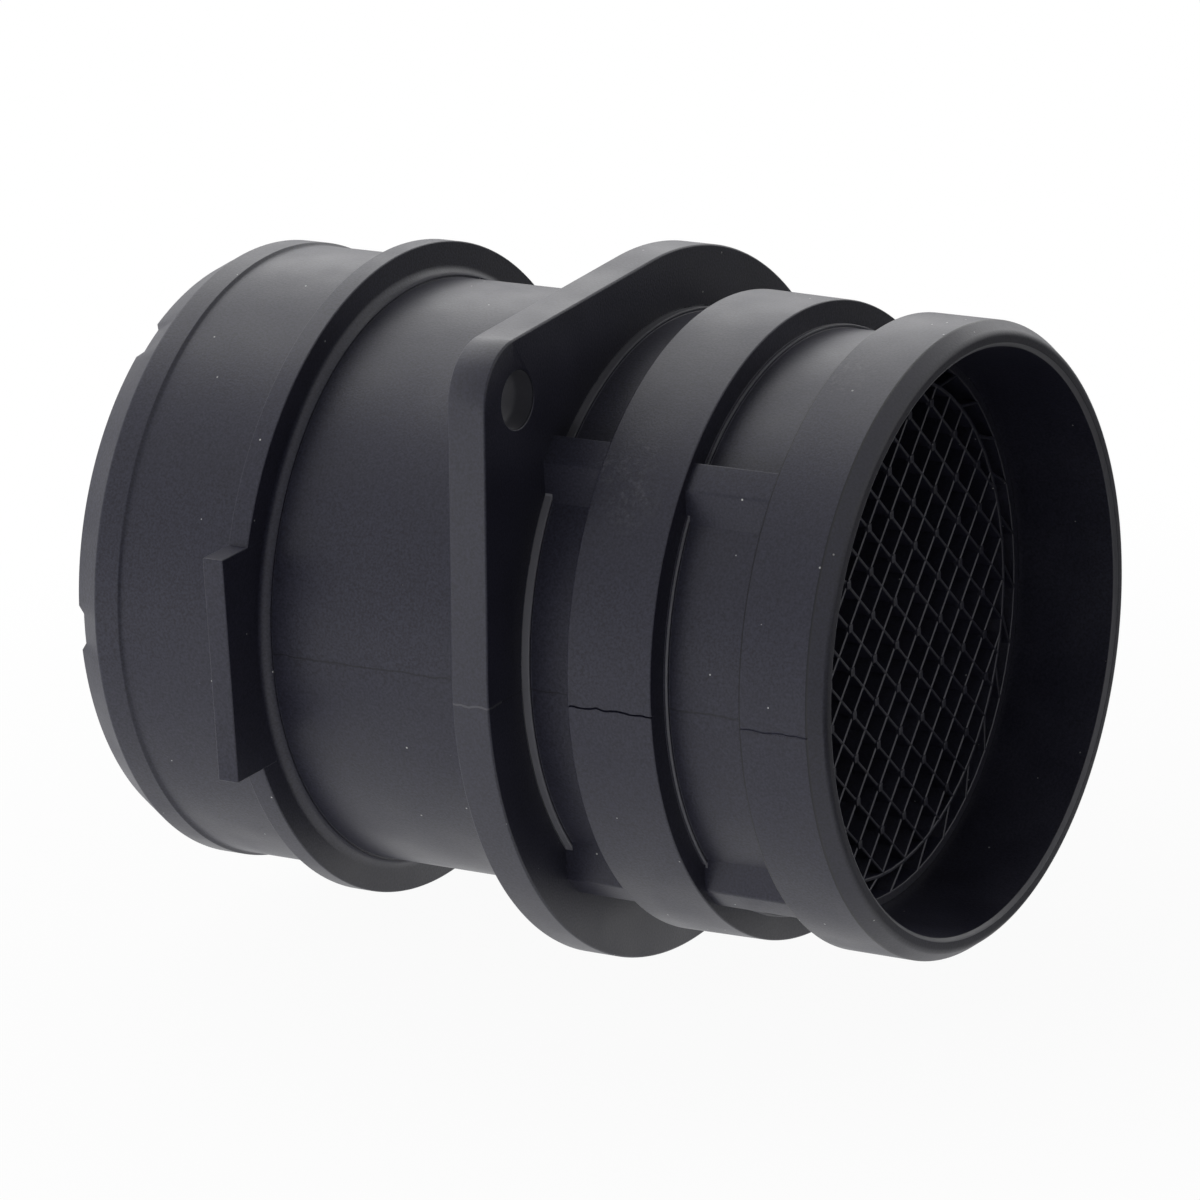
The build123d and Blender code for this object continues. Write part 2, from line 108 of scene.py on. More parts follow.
# ---- sizes
class DuctSizes(bpy.types.PropertyGroup):
    """Stations along the duct from the flange's front face, and radii."""

    flange_thickness: length("Flange thickness", "Plate between the two halves of the duct", 5.15)
    middle_length: length("Middle length", "Plain tube from the flange to the stop ring's foot", 30.45)
    foot_radius: length("Foot radius", "Hollow foot of the stop ring", 1.25)
    stop_ring_width: length("Stop ring width", "Ring that the hose stops at", 2.85)
    spigot_length: length("Spigot length", "From the stop ring to the outlet end", 24.5)
    lead_in_length: length("Lead-in length", "Taper at the outlet end", 4.1)
    bead_width: length("Bead width", "Raised band behind the lead-in", 3.4)
    bead_run_out: length("Bead run-out", "Slope from the bead to the spigot", 0.3)
    rear_gap: length("Rear gap", "From the flange to the collar", 8.0)
    collar_width: length("Collar width", "Ring next to the flange", 11.4)
    front_gap: length("Front gap", "From the collar to the mouth band", 11.6)
    mouth_band_width: length("Mouth band width", "Straight band behind the rim", 9.1)
    mouth_bevel_length: length("Mouth bevel length", "Taper at the rim", 1.9)
    lead_in_radius: length("Lead-in radius", "Outside of the outlet end", 36.9)
    spigot_radius: length("Spigot radius", "Outside of the outlet spigot", 38.8)
    bead_height: length("Bead height", "How far the bead stands proud", 0.4)
    stop_ring_radius: length("Stop ring radius", "Outside of the stop ring", 41.2)
    shoulder_step: length("Shoulder step", "Step in front of the stop ring", 0.3)
    middle_radius: length("Middle radius", "Outside of the plain middle tube", 36.75)
    rear_tube_radius: length("Rear gap radius", "Floor of the gap by the flange", 36.15)
    collar_radius: length("Collar radius", "Outside of the collar", 39.36)
    collar_draft: length("Collar draft", "How much the collar tapers each way", 0.1)
    front_tube_radius: length("Front gap radius", "Floor of the gap by the mouth", 35.85)
    mouth_band_radius: length("Mouth band radius", "Outside of the mouth band", 38.84)
    rim_radius: length("Rim radius", "Outside of the rim", 37.5)
    rim_inner_radius: length("Rim inner radius", "Inside of the mouth at the rim", 35.75)
    bore_radius: length("Bore radius", "Inside of the duct", 33.6)
    outlet_bore_radius: length("Outlet bore radius", "Inside of the outlet", 36.0)
    flare_offset: length("Flare offset", "From the stop ring's front to the bore's wider end", 1.6)
    flare_length: length("Flare length", "Cone from the bore to the outlet", 9.0)
    flare_round: length("Flare rounding", "Soft ends of that cone", 1.0)
    rim_edge: length("Rim edge", "Chamfer inside the rim", 0.45)
    rim_round: length("Rim rounding", "Rounded outer edge of the rim", 0.5)
    lip_height: length("Lip height", "Raised lip at the foot of the flange and the collar", 0.45)
    rear_lip_width: length("Rear lip width", "Lip at the flange's foot", 1.0)
    front_lip_width: length("Front lip width", "Lip at the collar's foot", 0.5)
    seat_depth: length("Grid seat depth", "How much wider the grid's seat is than the bore", 0.95)
    notch_width: length("End notch width", "Notches in the outlet's end face", 4.1)
    notch_depth: length("End notch depth", "Notches in the outlet's end face", 0.7)
    groove_level: length("Parting level", "Height of the mould's parting line", 0.2)
    groove_width: length("Parting groove width", "Open groove along the parting line", 0.26)
    groove_depth: length("Parting groove depth", "Open groove on the collar", 0.4)
    groove_step: length("Parting groove step", "Cuts along the groove", 0.45)
    groove_wave: length("Parting groove wave", "Length of the groove's wander", 1.6)
    groove_wander: length("Parting groove wander", "How far the groove wanders up and down", 0.28)
    groove_shake: length("Parting groove shake", "Height of its finer wander", 0.09)
    edge_round: length("Edge rounding", "Rounding that the mould leaves on an edge", 0.18)


class FlangeSizes(bpy.types.PropertyGroup):
    """The mounting flange, the index lug and the module's seat."""

    radius: length("Flange radius", "Round part of the flange", 44.2)
    ear_radius: length("Ear radius", "Rounded ear about each screw hole", 7.4)
    hole_distance: length("Hole distance", "From the duct's axis to a screw hole", 49.0)
    hole_radius: length("Hole radius", "Screw hole", 3.5)
    hole_angle: bpy.props.FloatProperty(
        name="Hole angle", description="From level up to the near screw hole", default=radians(46.3),
        subtype="ANGLE")
    edge_round: length("Flange edge rounding", "Rounded edges of the flange", 0.28)
    bite: length("Flange bite", "The plate's reach into the tube's wall", 1.2)
    rib_reach: length("Rib reach", "Outer side of the upright ribs", 29.1)
    rib_thickness: length("Rib thickness", "Upright ribs between their two sides", 2.7)
    rib_round: length("Rib rounding", "Rounded outer corners of the ribs", 0.25)
    rib_root: length("Rib root", "From the bore to the rib's start", 1.2)
    rear_rib_radius: length("Rear rib radius", "Outside of the ribs by the flange", 39.26)
    front_rib_radius: length("Front rib radius", "Outside of the ribs by the mouth", 38.35)
    lug_reach: length("Lug reach", "Flat face of the index lug", 44.2)
    lug_width: length("Lug width", "Index lug along the stop ring", 28.4)
    lug_root: length("Lug root", "From the bore to the lug's start", 2.0)
    seat_height: length("Seat height", "Face that the module sits on", 41.0)
    seat_length: length("Seat length", "Module seat along the duct", 26.0)
    seat_width: length("Seat width", "Module seat across the duct", 45.0)
    seat_corner: length("Seat corner", "Rounded corners of the module seat", 3.0)
    seat_bite: length("Seat bite", "The seat's reach into the tube's wall", 1.5)


class GridSizes(bpy.types.PropertyGroup):
    """The inlet grid."""

    pitch: length("Pitch", "From bar to bar", 3.9)
    bar_width: length("Bar width", "Bars, spokes and border ring", 0.4)
    bar_depth: length("Bar depth", "Bars along the duct", 2.0)
    bar_round: length("Bar rounding", "Rounded front edges", 0.176)
    ring_round: length("Ring rounding", "Rounded inner edges of both rings", 0.16)
    pad_size: length("Pad size", "Square pad on every second crossing", 0.95)
    pad_height: length("Pad height", "How far the pads stand proud", 0.15)
    pad_round: length("Pad rounding", "Rounded edges of the pads", 0.04)
    pad_root: length("Pad root", "How deep inside the bars a pad starts", 0.5)
    pad_margin: length("Pad margin", "Least room from the border to a pad's middle", 1.0)
    border_radius: length("Border radius", "Ring that the bars end on", 30.9)
    frame_inner: length("Frame inner radius", "Inside of the grid's frame", 33.4)
    spokes: bpy.props.IntProperty(name="Spokes", description="Slanted spokes to the frame", default=30)
    slant: bpy.props.FloatProperty(
        name="Slant", description="Turn of each spoke from its inner to its outer end", default=radians(6.6),
        subtype="ANGLE")
    phase: bpy.props.FloatProperty(
        name="Phase", description="Angle of the first spoke", default=radians(-1.4), subtype="ANGLE")


class FinishColours(bpy.types.PropertyGroup):
    """Colours of the housing's finish."""

    plastic: colour("Plastic", "Glass-filled black plastic, in the dark of its grain", "1a1a27")
    plastic_pale: colour("Pale plastic", "The same plastic, in the light of its grain", "323242")
    # Also used for the painted highlight on the lips, the rim's edges and the flange's edge.
    plastic_worn_and_highlit: colour("Worn plastic", "Where the skin of the moulding is rubbed", "85858c")
    # Painted shade: the dark of the parting line's fine gap, the mouth band's edges and the screw holes.
    crack_shade: colour("Parting crack", "Gap along the mould's parting line", "0a0a14")
    dust: colour("Dust", "Specks of dust on the plastic", "d4d5d4")


class StageSettings(bpy.types.PropertyGroup):
    """The floor, the lamps and the camera."""

    camera_place: bpy.props.FloatVectorProperty(
        name="Camera place", description="Where the camera stands", subtype="XYZ", unit="LENGTH",
        default=(0.4285, -0.6998, 0.2674))
    camera_look: bpy.props.FloatVectorProperty(
        name="Camera look", description="Where the camera looks", subtype="DIRECTION",
        default=(-0.5062, 0.8052, -0.3090))
    camera_right: bpy.props.FloatVectorProperty(
        name="Camera right", description="The frame's right side", subtype="DIRECTION",
        default=(0.8544, 0.5169, -0.0525))
    lens: bpy.props.FloatProperty(name="Lens", description="Focal length on a 36 mm frame", default=210.4)
    floor: colour("Floor", "Pale studio floor", "f2f2f2")


# ---- materials
def add(tree, kind, links=None, **settings):
    """Adds a shader node, sets its settings and fills its inputs with values or links.

    A node given as an input stands for its first output.
    """
    node = tree.nodes.new("ShaderNode" + kind)
    for name, value in settings.items():
        setattr(node, name, value)
    for key, value in (links or {}).items():
        if isinstance(value, bpy.types.Node):
            value = value.outputs[0]
        if isinstance(value, bpy.types.NodeSocket):
            tree.links.new(value, node.inputs[key])
        else:
            node.inputs[key].default_value = value
    return node


def new_material(name):
    """A new material's node tree, its shader and the object's own coordinates."""
    material = bpy.data.materials.new(name)
    material.use_nodes = True
    tree = material.node_tree
    return tree, tree.nodes["Principled BSDF"], add(tree, "TexCoord").outputs["Object"]


def moulded_nylon(name, colours, duct=None, flange=None):
    """Black nylon filled with glass fibre, injection moulded.

    To the eye it is a dark blue-grey satin with a fine uneven grain, a few specks of dust and, on the
    housing, the mould's parting line, scuffs, painted shade in its lines and screw holes and painted
    highlight on its lips and edges.
    """
    tree, shader, place = new_material(name)
    # The fibre's real grain is about 0.1 mm. It is drawn three times as coarse, so that it shows.
    grain = add(tree, "TexNoise", {"Vector": place, "Scale": 1 / mm(0.3), "Detail": 3.0})
    flow = add(tree, "TexNoise", {"Vector": place, "Scale": 1 / mm(9.0), "Detail": 2.0})
    mottle = add(tree, "MapRange", {"Value": grain, "From Min": 0.32, "From Max": 0.68})
    skin = add(tree, "Mix", {
        "Factor": mottle, "A": (*colours.plastic, 1), "B": (*colours.plastic_pale, 1)},
        data_type="RGBA").outputs["Result"]
    rough = add(tree, "MapRange", {
        "Value": flow, "From Min": 0.3, "From Max": 0.7, "To Min": 0.36, "To Max": 0.45})
    bump = add(tree, "Bump", {"Height": grain, "Strength": 0.5, "Distance": mm(0.05)})
    if duct:
        skin, groove, hole_roughness = housing_marks(tree, place, skin, colours, duct, flange)
        rough = add(tree, "Math", {0: rough, 1: hole_roughness}, operation="MAXIMUM")
        bump = add(tree, "Bump", {
            "Height": groove, "Strength": 1.0, "Distance": mm(0.25), "Normal": bump}, invert=True)
    # Dust lies in specks of about 0.2 mm, on one cell in five of a 1.6 mm pattern.
    specks = add(tree, "TexVoronoi", {"Vector": place, "Scale": 1 / mm(1.6)})
    speck = add(tree, "MapRange", {"Value": specks, "From Min": 0.09, "From Max": 0.06})
    some = add(tree, "Math", {0: specks.outputs["Color"], 1: 0.8}, operation="GREATER_THAN")
    dusty = add(tree, "Math", {0: speck, 1: some}, operation="MULTIPLY")
    dusted = add(tree, "Mix", {"Factor": dusty, "A": skin, "B": (*colours.dust, 1)}, data_type="RGBA")
    tree.links.new(dusted.outputs["Result"], shader.inputs["Base Color"])
    tree.links.new(rough.outputs[0], shader.inputs["Roughness"])
    tree.links.new(bump.outputs[0], shader.inputs["Normal"])
    shader.inputs["Specular IOR Level"].default_value = 0.48
    return shader


def housing_marks(tree, place, skin, colours, duct, flange):
    """The housing's parting line, band edges and screw holes in painted shade, its lips and edges in painted
    highlight, a rubbed flash, and scuffs.

    Gives the marked skin, how deep the drawn grooves are, and the roughness in the screw holes.
    """
    x = stations(duct)
    at = add(tree, "SeparateXYZ", {"Vector": place}).outputs
    across = add(tree, "VectorMath", {0: place, 1: (0, 1, 1)}, operation="MULTIPLY")
    radius = add(tree, "VectorMath", {0: across}, operation="LENGTH").outputs["Value"]

    # The two halves of the mould meet at mid height, in a fine line that wanders a little. Its dark is
    # painted shade of a fine gap. It is drawn in front of the stop ring, and the collar and the mouth band
    # have a real groove instead.
    wander = add(tree, "TexNoise", {"Vector": place, "Scale": 1 / mm(2.2), "Detail": 4.0})
    level = add(tree, "Math", {0: wander, 1: mm(0.9), 2: at["Z"]}, operation="MULTIPLY_ADD")
    line = add(tree, "Math", {0: level, 1: mm(0.65), 2: mm(0.14)}, operation="COMPARE")
    collar, band = [
        add(tree, "Math", {0: at["X"], 1: (back + front) / 2, 2: (front - back) / 2},
            operation="COMPARE")
        for back, front in ((x["collar_back"], x["collar_front"]), (x["band_back"], x["rim"]))]
    ahead = add(tree, "Math", {0: at["X"], 1: x["shoulder"]}, operation="GREATER_THAN")
    outside, on_band, on_flange = [
        add(tree, "Math", {0: radius, 1: limit}, operation="GREATER_THAN")
        for limit in (duct.rim_inner_radius, duct.rim_radius + mm(0.4), duct.stop_ring_radius)]
    for limit in (ahead, outside):
        line = add(tree, "Math", {0: line, 1: limit}, operation="MULTIPLY")
    rings = add(tree, "Math", {0: collar, 1: band}, operation="MAXIMUM")
    dark = add(tree, "Math", {0: line, 1: rings}, operation="SUBTRACT", use_clamp=True)
    dark = add(tree, "Math", {0: dark, 1: 0.6}, operation="MULTIPLY")

    # A fine dark line along both edges of the mouth band is painted shade on their rounded corners.
    for edge in (x["band_back"] + mm(0.12), x["band_front"]):
        edge_line_shade = add(tree, "Math", {0: at["X"], 1: edge, 2: mm(0.12)}, operation="COMPARE")
        edge_line_shade = add(tree, "Math", {0: edge_line_shade, 1: on_band}, operation="MULTIPLY")
        dark = add(tree, "Math", {0: dark, 1: edge_line_shade}, operation="MAXIMUM")

    # The screw holes' walls are painted dark, a painted shade, and are rougher towards the front, which
    # dulls them.
    hole_dulling = add(tree, "MapRange", {
        "Value": at["X"], "From Min": -duct.flange_thickness * 0.55,
        "From Max": -duct.flange_thickness * 0.45, "To Min": 0.7})
    aside = [
        add(tree, "VectorMath", {0: across, 1: centre}, operation="DISTANCE").outputs["Value"]
        for centre in ear_centres(flange)]
    nearest = add(tree, "Math", {0: aside[0], 1: aside[1]}, operation="MINIMUM")
    hole_shade = add(tree, "Math", {0: nearest, 1: flange.hole_radius + mm(0.1)}, operation="LESS_THAN")
    hole_roughness = add(tree, "Math", {0: hole_dulling, 1: hole_shade}, operation="MULTIPLY")

    # Where the line crosses the flange, its flash is drawn a little pale, partly rubbed skin and partly a
    # painted highlight.
    # The thin lips at the feet of the flange and the collar, and the rim's inner edge, are painted quite
    # pale: a painted highlight.
    wear_and_highlight = line
    for share in (on_flange, 0.35):
        wear_and_highlight = add(tree, "Math", {0: wear_and_highlight, 1: share}, operation="MULTIPLY")
    rear_half = duct.rear_lip_width / 2
    edge_half = duct.rim_edge / 2
    lips = [
        (rear_half, rear_half, duct.rear_tube_radius + duct.lip_height, mm(0.2)),
        (x["collar_front"] + duct.front_lip_width * 0.75, duct.front_lip_width * 0.3,
         duct.front_tube_radius + duct.lip_height, mm(0.2)),
        (x["rim"], duct.rim_edge, duct.rim_inner_radius + edge_half, edge_half + mm(0.05)),
    ]
    for middle, half, height, reach in lips:
        along = add(tree, "Math", {0: at["X"], 1: middle, 2: half}, operation="COMPARE")
        out = add(tree, "Math", {0: radius, 1: height, 2: reach}, operation="COMPARE")
        lip = add(tree, "Math", {0: along, 1: out}, operation="MULTIPLY")
        wear_and_highlight = add(tree, "Math", {0: wear_and_highlight, 1: lip}, operation="MAXIMUM")

    # The flange's edge and the rim's bevel are painted a little paler all over: a painted highlight.
    half = duct.flange_thickness / 2
    edge = add(tree, "Math", {0: at["X"], 1: -half, 2: half - mm(0.2)}, operation="COMPARE")
    edge = add(tree, "Math", {0: edge, 1: on_flange}, operation="MULTIPLY")
    bevel = add(tree, "Math", {0: at["X"], 1: x["band_front"]}, operation="GREATER_THAN")
    bevel = add(tree, "Math", {0: bevel, 1: outside}, operation="MULTIPLY")
    edge_highlight = add(tree, "Math", {0: edge, 1: bevel}, operation="MAXIMUM")
    edge_highlight = add(tree, "Math", {0: edge_highlight, 1: 0.1}, operation="MULTIPLY")

    # Scuffs from handling, each a patch of broken streaks about a point.
    streaks = add(tree, "TexNoise", {
        "Vector": place, "Scale": 1 / mm(0.9), "Detail": 6.0, "Roughness": 0.8})
    patchy = add(tree, "MapRange", {
        "Value": streaks, "From Min": 0.48, "From Max": 0.68, "To Max": 0.3})
    scuffs = []
    for spot, reach in [((8.9, -28.7, 26.9), 3.0), ((13.2, -31.4, 23.7), 4.5), ((12.6, -27.6, 28.0), 3.5),
                        ((32.2, -13.8, 36.3), 5.0)]:
        away = add(tree, "VectorMath", {0: place, 1: mm(Vector(spot))}, operation="DISTANCE")
        near = add(tree, "MapRange", {
            "Value": away.outputs["Value"], "From Min": mm(reach), "From Max": mm(reach / 3)})
        scuffs.append(add(tree, "Math", {0: near, 1: patchy}, operation="MULTIPLY"))

    # The dark coats are painted shade. The pale ones are scuffs and rubbed skin, with painted highlight on
    # lips and edges.
    coats = [(dark, colours.crack_shade), (hole_shade, colours.crack_shade)]
    coats += [(share, colours.plastic_worn_and_highlit) for share in (wear_and_highlight, edge_highlight, *scuffs)]
    for share, tint in coats:
        skin = add(tree, "Mix", {"Factor": share, "A": skin, "B": (*tint, 1)},
                   data_type="RGBA").outputs["Result"]
    return skin, dark, hole_roughness


def grained(name, dark, pale, grain, rough, bump, metallic=0.0, stretch=(1, 1, 1)):
    """A finish of two shades over a noise of the given grain, which also moves its roughness and bump."""
    tree, shader, place = new_material(name)
    drawn = add(tree, "Mapping", {"Vector": place, "Scale": stretch})
    cloud = add(tree, "TexNoise", {"Vector": drawn, "Scale": 1 / grain, "Detail": 3.0})
    even = add(tree, "MapRange", {"Value": cloud, "From Min": 0.3, "From Max": 0.7})
    shade = add(tree, "Mix", {
        "Factor": even, "A": (*linear(dark), 1), "B": (*linear(pale), 1)}, data_type="RGBA")
    uneven = add(tree, "MapRange", {
        "Value": cloud, "From Min": 0.3, "From Max": 0.7, "To Min": rough[0], "To Max": rough[1]})
    raised = add(tree, "Bump", {"Height": cloud, "Strength": bump, "Distance": mm(0.03)})
    tree.links.new(shade.outputs["Result"], shader.inputs["Base Color"])
    tree.links.new(uneven.outputs[0], shader.inputs["Roughness"])
    tree.links.new(raised.outputs[0], shader.inputs["Normal"])
    shader.inputs["Metallic"].default_value = metallic
    return shader


def laminate(name):
    """Glass-cloth laminate under green solder mask: a glossy green with the cloth's weave faint below."""
    tree, shader, place = new_material(name)
    # The threads are 0.4 mm apart: a wave's period is 0.314 over its scale.
    threads = [
        add(tree, "TexWave", {"Vector": place, "Scale": 0.314 / mm(0.4)},
            bands_direction=direction).outputs["Fac"]
        for direction in ("X", "Z")]
    weave = add(tree, "Math", {0: threads[0], 1: threads[1]}, operation="MULTIPLY")
    shade = add(tree, "Mix", {
        "Factor": weave, "A": (*linear("1b4f33"), 1), "B": (*linear("2b6b47"), 1)}, data_type="RGBA")
    raised = add(tree, "Bump", {"Height": weave, "Strength": 0.15, "Distance": mm(0.02)})
    tree.links.new(shade.outputs["Result"], shader.inputs["Base Color"])
    tree.links.new(raised.outputs[0], shader.inputs["Normal"])
    shader.inputs["Roughness"].default_value = 0.28


# ---- mesh tools
def free_into_mesh(bm, name):
    """Turns a bmesh into a mesh."""
    mesh = bpy.data.meshes.new(name)
    bm.to_mesh(mesh)
    bm.free()
    return mesh


def put(name, data):
    """Puts an object with the given data in the scene."""
    thing = bpy.data.objects.new(name, data)
    bpy.context.scene.collection.objects.link(thing)
    return thing


def finish_piece(bm, name, finish, nodes=()):
    """Turns a bmesh into a piece of the part that rides on the root body and may replace nodes."""
    bmesh.ops.recalc_face_normals(bm, faces=bm.faces)
    mesh = free_into_mesh(bm, name)
    mesh.polygons.foreach_set("use_smooth", [True] * len(mesh.polygons))
    mesh.set_sharp_from_angle(angle=radians(32))
    mesh.materials.append(bpy.data.materials[finish])
    piece = put(name, mesh)
    weighted = piece.modifiers.new("even shading", "WEIGHTED_NORMAL")
    weighted.keep_sharp = True
    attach(piece, "root")
    if nodes:
        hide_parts(*nodes)


def turned(bm, corners, steps):
    """Spins a closed section, given as (x, radius, rounding) corners, about the duct's axis."""
    verts = [bm.verts.new((x, 0, radius)) for x, radius, rounding in corners]
    bm.faces.new(verts)
    for vert, (_, _, rounding) in zip(verts, corners):
        if rounding:
            bmesh.ops.bevel(
                bm, geom=[vert], offset=rounding, segments=4, profile=0.5, affect="VERTICES", material=-1)
    bmesh.ops.delete(bm, geom=bm.faces[:], context="FACES_ONLY")
    bmesh.ops.spin(
        bm, geom=bm.verts[:] + bm.edges[:], cent=(0, 0, 0), axis=(1, 0, 0), angle=2 * pi, steps=steps,
        use_merge=True)


def roll(bm, verts, angle):
    """Turns vertices about the duct's axis."""
    bmesh.ops.rotate(bm, verts=verts, cent=(0, 0, 0), matrix=Matrix.Rotation(angle, 3, "X"))


def sharp_edges(bm, degrees):
    return [
        edge for edge in bm.edges
        if len(edge.link_faces) == 2 and edge.calc_face_angle() > radians(degrees)]


def bevel_edges(bm, edges, width, segments=3):
    bmesh.ops.bevel(
        bm, geom=edges, offset=width, segments=segments, profile=0.5, affect="EDGES", clamp_overlap=True,
        material=-1)


def block(bm, low, high):
    """A box between two corners."""
    low, high = Vector(low), Vector(high)
    place = Matrix.Translation((low + high) / 2) @ Matrix.Diagonal((*(high - low), 1))
    return bmesh.ops.create_cube(bm, size=1, matrix=place)["verts"]


def bisect(bm, point, normal, **settings):
    """Cuts the whole mesh by a plane."""
    bmesh.ops.bisect_plane(
        bm, geom=bm.verts[:] + bm.edges[:] + bm.faces[:], plane_co=point, plane_no=normal, **settings)


def draw_out(bm, distance):
    """Gives a flat mesh a thickness along X."""
    made = bmesh.ops.extrude_face_region(bm, geom=bm.faces[:])
    moved = [item for item in made["geom"] if isinstance(item, bmesh.types.BMVert)]
    bmesh.ops.translate(bm, verts=moved, vec=(distance, 0, 0))
    bmesh.ops.recalc_face_normals(bm, faces=bm.faces)


def join(whole, bm):
    """Adds one bmesh to another and frees it."""
    mesh = free_into_mesh(bm, "part")
    whole.from_mesh(mesh)
    bpy.data.meshes.remove(mesh)


# ---- the housing
def stations(sizes):
    """Places along the duct that follow from its lengths, from the outlet to the rim."""
    x = {"shoulder": -sizes.flange_thickness - sizes.middle_length}
    x["stop_front"] = x["shoulder"] - sizes.foot_radius
    x["stop_back"] = x["stop_front"] - sizes.stop_ring_width
    x["outlet"] = x["stop_back"] - sizes.spigot_length
    x["bead_back"] = x["outlet"] + sizes.lead_in_length
    x["bead_front"] = x["bead_back"] + sizes.bead_width
    x["collar_back"] = sizes.rear_gap
    x["collar_front"] = x["collar_back"] + sizes.collar_width
    x["band_back"] = x["collar_front"] + sizes.front_gap
    x["band_front"] = x["band_back"] + sizes.mouth_band_width
    x["rim"] = x["band_front"] + sizes.mouth_bevel_length
    return x


def duct_section(sizes):
    """The wall's section as (x, radius, rounding) corners: outside from the outlet, then back inside."""
    x = stations(sizes)
    soft = sizes.edge_round
    bead = sizes.spigot_radius + sizes.bead_height
    shoulder = sizes.middle_radius + sizes.shoulder_step
    rear_lip = sizes.rear_tube_radius + sizes.lip_height
    front_lip = sizes.front_tube_radius + sizes.lip_height
    seat = sizes.bore_radius + sizes.seat_depth
    flare = x["stop_front"] - sizes.flare_offset
    grid_low, grid_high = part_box("inlet_grid")
    outside = [
        (x["outlet"], sizes.lead_in_radius, soft),
        (x["bead_back"], bead, soft),
        (x["bead_front"], bead, soft / 2),
        (x["bead_front"] + sizes.bead_run_out, sizes.spigot_radius, soft),
        (x["stop_back"], sizes.spigot_radius, soft),
        (x["stop_back"], sizes.stop_ring_radius, soft),
        (x["stop_front"], sizes.stop_ring_radius, soft),
        # The foot's hollow stops just short of the shoulder's own corner.
        (x["stop_front"], shoulder, sizes.foot_radius * 0.98),
        (x["shoulder"], shoulder, soft / 5),
        (x["shoulder"], sizes.middle_radius, soft / 5),
        (0, sizes.middle_radius, 0),
        (0, rear_lip, 0),
        (sizes.rear_lip_width, rear_lip, soft / 2),
        (sizes.rear_lip_width, sizes.rear_tube_radius, soft / 3),
        (x["collar_back"], sizes.rear_tube_radius, soft),
        (x["collar_back"], sizes.collar_radius + sizes.collar_draft, soft),
        (x["collar_front"], sizes.collar_radius - sizes.collar_draft, soft),
        (x["collar_front"], front_lip, soft / 3),
        (x["collar_front"] + sizes.front_lip_width, front_lip, soft / 2),
        (x["collar_front"] + sizes.front_lip_width, sizes.front_tube_radius, soft / 3),
        (x["band_back"], sizes.front_tube_radius, soft),
        (x["band_back"], sizes.mouth_band_radius, soft),
        (x["band_front"], sizes.mouth_band_radius, soft),
        (x["rim"], sizes.rim_radius, sizes.rim_round),
    ]
    inside = [
        (x["rim"], sizes.rim_inner_radius + sizes.rim_edge, soft),
        (x["rim"] - sizes.rim_edge, sizes.rim_inner_radius, soft / 2),
        (grid_high.x, seat, 0),
        (grid_low.x, seat, 0),
        (grid_low.x, sizes.bore_radius, soft / 2),
        (flare, sizes.bore_radius, sizes.flare_round),
        (flare - sizes.flare_length, sizes.outlet_bore_radius, sizes.flare_round),
        (x["outlet"], sizes.outlet_bore_radius, soft),
    ]
    return outside + inside


def cut_parting_groove(bm, sizes, start, end, radius, depth):
    """Sinks a thin, wandering groove into a ring's outer face, where the two halves of the mould meet."""
    half = sizes.groove_width / 2
    rows = (sizes.groove_level - half, sizes.groove_level, sizes.groove_level + half)
    slack = mm(0.01)
    facet = mm(1.1)
    finer = 3.1

    def on_ring(point):
        """Whether a point is on the ring, within 0.4 mm of its foremost line."""
        return start - slack < point.x < end + slack and point.y < mm(0.4) - radius

    def cut(low, high, place, normal):
        faces = [
            face for face in bm.faces
            if on_ring(face.calc_center_median()) and low < face.calc_center_median().z < high]
        edges = {edge for face in faces for edge in face.edges}
        verts = {vert for face in faces for vert in face.verts}
        bmesh.ops.bisect_plane(
            bm, geom=[*faces, *edges, *verts], dist=mm(0.001), plane_co=place, plane_no=normal)

    for row in rows:
        cut(-facet, facet, (0, 0, row), (0, 0, 1))
    for index in range(1, int((end - start) / sizes.groove_step)):
        cut(rows[0], rows[2], (start + index * sizes.groove_step, 0, 0), (1, 0, 0))
    for vert in bm.verts:
        row = min(rows, key=lambda level: abs(level - vert.co.z))
        if not on_ring(vert.co) or abs(row - vert.co.z) > 2 * slack:
            continue
        # The ring's radius picks its own stretch of the noise.
        along = Vector((vert.co.x / sizes.groove_wave, radius * 1000, 0))
        vert.co.z += sizes.groove_wander * noise.noise(along)
        vert.co.z += sizes.groove_shake * noise.noise(along * finer)
        if row == rows[1]:
            vert.co.y += depth


class AIRFLOW_OT_duct_tube(bpy.types.Operator):
    """Spin the duct's wall with its rings and notches"""

    bl_idname = "airflow.duct_tube"
    bl_label = "Duct tube"

    def execute(self, context):
        sizes = context.scene.airflow_duct
        bm = bmesh.new()
        turned(bm, duct_section(sizes), DUCT_FACETS)
        x = stations(sizes)
        cut_parting_groove(
            bm, sizes, x["collar_back"], x["collar_front"], sizes.collar_radius, sizes.groove_depth)
        cut_parting_groove(
            bm, sizes, x["band_back"], x["band_front"], sizes.mouth_band_radius, sizes.groove_depth / 3)
        # The outlet's end face has two notches, one level and one a sixth of a turn up.
        half = sizes.notch_width / 2
        for turn in (0, pi / 3):
            out = Vector((0, -cos(turn), sin(turn)))
            aside = Vector((0, sin(turn), cos(turn)))
            for vert in bm.verts:
                near = abs(vert.co.dot(aside)) < half and vert.co.dot(out) > 0
                if near and vert.co.x < x["outlet"] + sizes.notch_depth:
                    vert.co.x += sizes.notch_depth
        finish_piece(bm, "duct_tube", "moulded nylon", ["tube_housing"])
        return {"FINISHED"}


def ear_centres(sizes):
    """Centres of the two screw holes, opposite each other."""
    near = Vector((0, -cos(sizes.hole_angle), sin(sizes.hole_angle))) * sizes.hole_distance
    return [near, -near]


